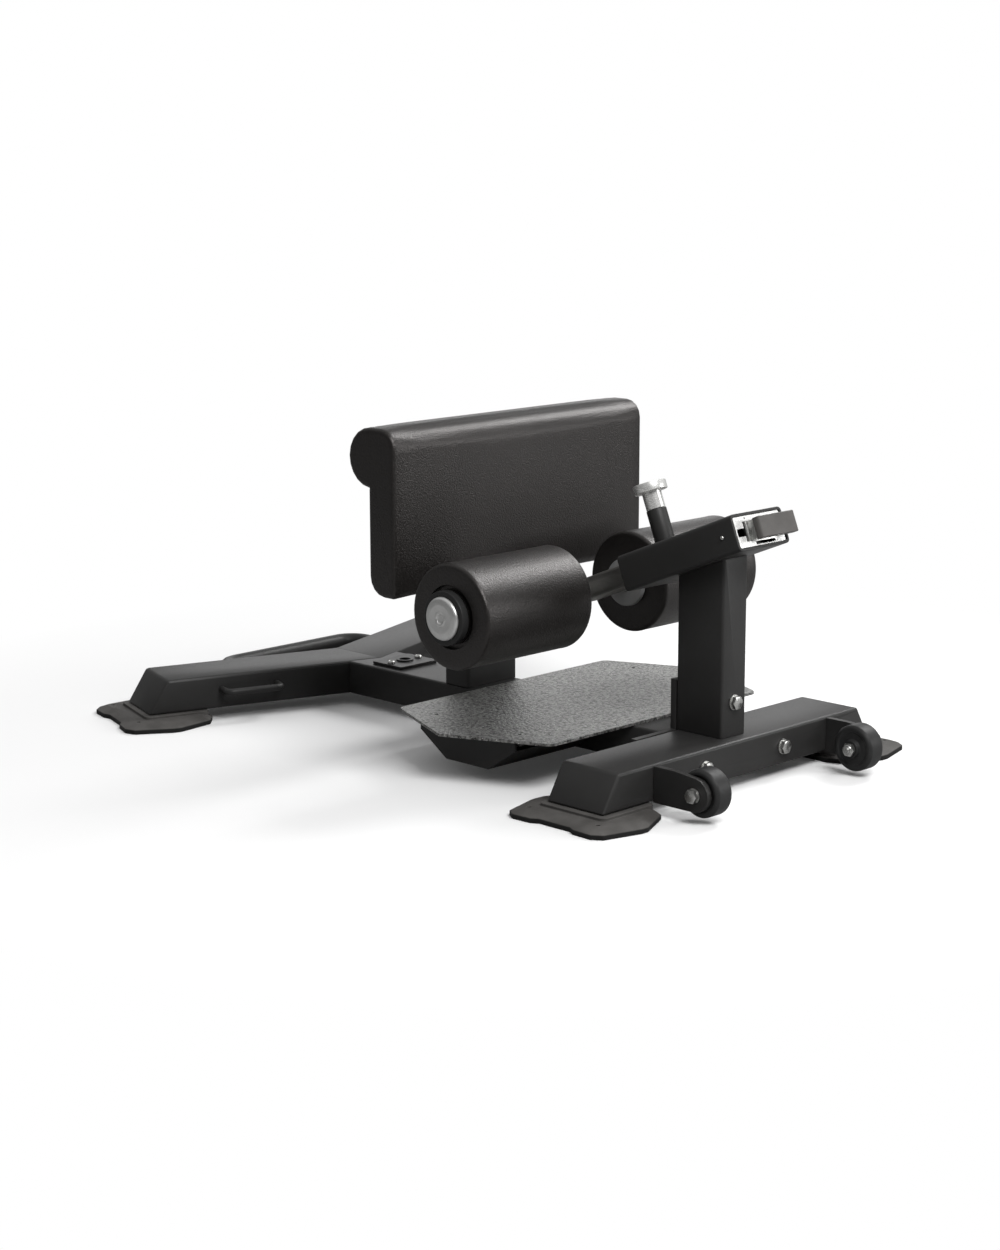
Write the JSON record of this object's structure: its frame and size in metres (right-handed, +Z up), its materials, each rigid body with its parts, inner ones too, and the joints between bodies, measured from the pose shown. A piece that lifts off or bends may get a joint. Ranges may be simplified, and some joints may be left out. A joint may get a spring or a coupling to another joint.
{
  "type": "sissy squat bench",
  "caption": "Low wheeled steel bench for sissy squats, with a foot plate, an upright calf pad and foot rollers on a sliding arm locked by a pull pin.",
  "frame": {"origin": "on the floor, under the middle of the bench's bounding box", "axes": "+Y from the front crossbeam and wheels to the rear feet, +Z up, +X to the right seen from the front wheels looking to the rear"},
  "size_m": [0.8018, 1.0726, 0.4675],
  "materials": {
    "powder_coat": "black powder coat, fine texture, half matt",
    "tread_steel": "grey textured steel plate, dull sheen",
    "zinc": "bright zinc plating",
    "chrome": "satin chrome plating",
    "rubber": "dark grey moulded rubber",
    "tyre": "black wheel, smooth sides",
    "black_plastic": "black moulded plastic",
    "grey_plastic": "light grey moulded plastic",
    "leather": "black grained upholstery over foam"
  },
  "bodies": {
    "bench_frame": {"adjuster_sleeve": "powder_coat", "front_crossbeam": "powder_coat", "front_post": "powder_coat", "spine": "powder_coat", "spine_flange": "powder_coat", "rear_leg_left": "powder_coat", "rear_leg_right": "powder_coat", "pad_post": "powder_coat", "plate_cradle_left": "powder_coat", "plate_cradle_right": "powder_coat", "lift_handle": "powder_coat", "leg_handle_left": "powder_coat", "leg_handle_right": "powder_coat", "wheel_bracket_left": "powder_coat", "wheel_bracket_right": "powder_coat", "pin_housing": "powder_coat", "foot_plate": "tread_steel", "anchor_plate": "tread_steel", "anchor_screw_left": "zinc", "anchor_screw_right": "zinc", "beam_bolt_left": "zinc", "beam_bolt_right": "zinc", "post_bolt": "zinc", "plate_bolt_front_left": "zinc", "plate_bolt_front_right": "zinc", "plate_bolt_rear_left": "zinc", "plate_bolt_rear_right": "zinc", "wheel_bolt_left": "zinc", "wheel_bolt_right": "zinc", "pad_bolt_lower": "zinc", "pad_bolt_upper": "zinc", "sleeve_screw": "zinc", "lever_pin": "zinc", "pin_spring": "zinc", "mouth_cap": "chrome", "foot_front_left": "rubber", "foot_front_right": "rubber", "foot_rear_left": "rubber", "foot_rear_right": "rubber", "pad_board": "black_plastic", "pad_post_cap": "black_plastic", "guide_bushing": "black_plastic", "calf_pad": "leather"},
    "roller_carriage": {"slide_tube": "chrome", "roller_axle": "zinc", "inner_collar_left": "grey_plastic", "inner_collar_right": "grey_plastic", "outer_collar_left": "black_plastic", "outer_collar_right": "black_plastic", "end_cap_left": "chrome", "end_cap_right": "chrome"},
    "roller_left_body": {"roller_left": "leather", "roller_core_left": "black_plastic"},
    "roller_right_body": {"roller_right": "leather", "roller_core_right": "black_plastic"},
    "pin_body": {"pull_pin": "chrome"},
    "lever_body": {"release_lever": "zinc", "lever_grip": "black_plastic"},
    "wheel_left_body": {"wheel_left": "tyre"},
    "wheel_right_body": {"wheel_right": "tyre"}
  },
  "joints": [
    {"name": "roller_slide", "type": "slide", "parent": "bench_frame", "child": "roller_carriage", "axis": [0, -0.9272, 0.3746], "range_m": [0, 0.06]},
    {"name": "roller_left_spin", "type": "hinge", "parent": "roller_carriage", "child": "roller_left_body", "pos_m": [0, -0.15665, 0.234], "axis": [1, 0, 0], "continuous": true},
    {"name": "roller_right_spin", "type": "hinge", "parent": "roller_carriage", "child": "roller_right_body", "pos_m": [0, -0.15665, 0.234], "axis": [1, 0, 0], "continuous": true},
    {"name": "pin_pull", "type": "slide", "parent": "bench_frame", "child": "pin_body", "axis": [0, 0.3746, 0.9272], "range_m": [0, 0.01], "stiffness_N_per_m": 1500, "springref_m": -0.01},
    {"name": "lever_swing", "type": "hinge", "parent": "bench_frame", "child": "lever_body", "pos_m": [-0.0205, -0.44964, 0.35238], "axis": [0, -0.3746, -0.9272], "range_deg": [0, 55]},
    {"name": "wheel_left_spin", "type": "hinge", "parent": "bench_frame", "child": "wheel_left_body", "pos_m": [-0.16, -0.50435, 0.0395], "axis": [1, 0, 0], "continuous": true},
    {"name": "wheel_right_spin", "type": "hinge", "parent": "bench_frame", "child": "wheel_right_body", "pos_m": [0.16, -0.50435, 0.0395], "axis": [1, 0, 0], "continuous": true}
  ]
}
